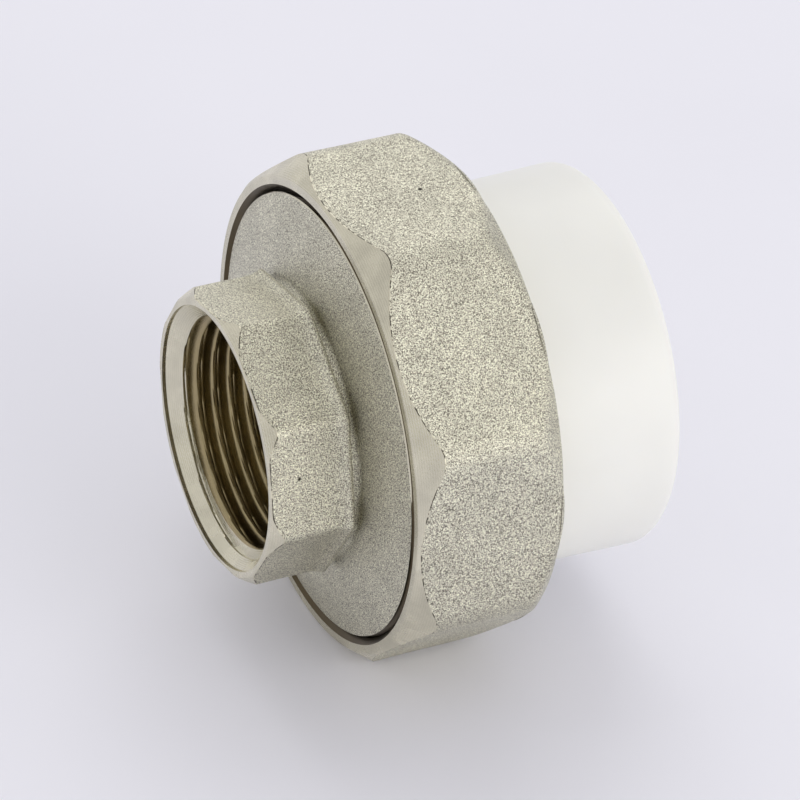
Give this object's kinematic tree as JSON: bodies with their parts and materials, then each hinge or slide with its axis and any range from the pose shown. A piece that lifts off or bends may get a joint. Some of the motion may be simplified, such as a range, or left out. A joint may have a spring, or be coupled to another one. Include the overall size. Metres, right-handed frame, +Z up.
{
  "type": "pipe union",
  "caption": "Pipe union joining a plastic pipe to threaded metal pipe: fusion socket, loose octagon union nut, gasket and threaded tailpiece.",
  "frame": {"origin": "centre of the tailpiece's front face, on the axis of its pipe thread", "axes": "+X along the union's axis from the threaded mouth to the plastic socket's mouth, +Z up, one flat of the nut facing -Z"},
  "size_m": [0.0435, 0.051, 0.051],
  "materials": {
    "nickel_plated_brass": "blasted forging, nickel plated, turned faces",
    "white_polypropylene": "moulded, semi-matt",
    "black_epdm": "moulded"
  },
  "bodies": {
    "socket_half": {"pipe_socket": "white_polypropylene", "sealing_gasket": "black_epdm"},
    "nut": {"union_nut": "nickel_plated_brass"},
    "tailpiece": {"threaded_tailpiece": "nickel_plated_brass"}
  },
  "joints": [
    {"name": "nut_turn", "type": "hinge", "parent": "socket_half", "child": "nut", "pos_m": [0.0195, 0, 0], "axis": [1, 0, 0], "range_deg": [0, 1440]},
    {"name": "tailpiece_draw", "type": "slide", "parent": "socket_half", "child": "tailpiece", "axis": [-1, 0, 0], "range_m": [0, 0.00924]}
  ],
  "couplings": [
    {"joint": "tailpiece_draw", "follows": "nut_turn", "m_per_rad": 0.00036749}
  ]
}
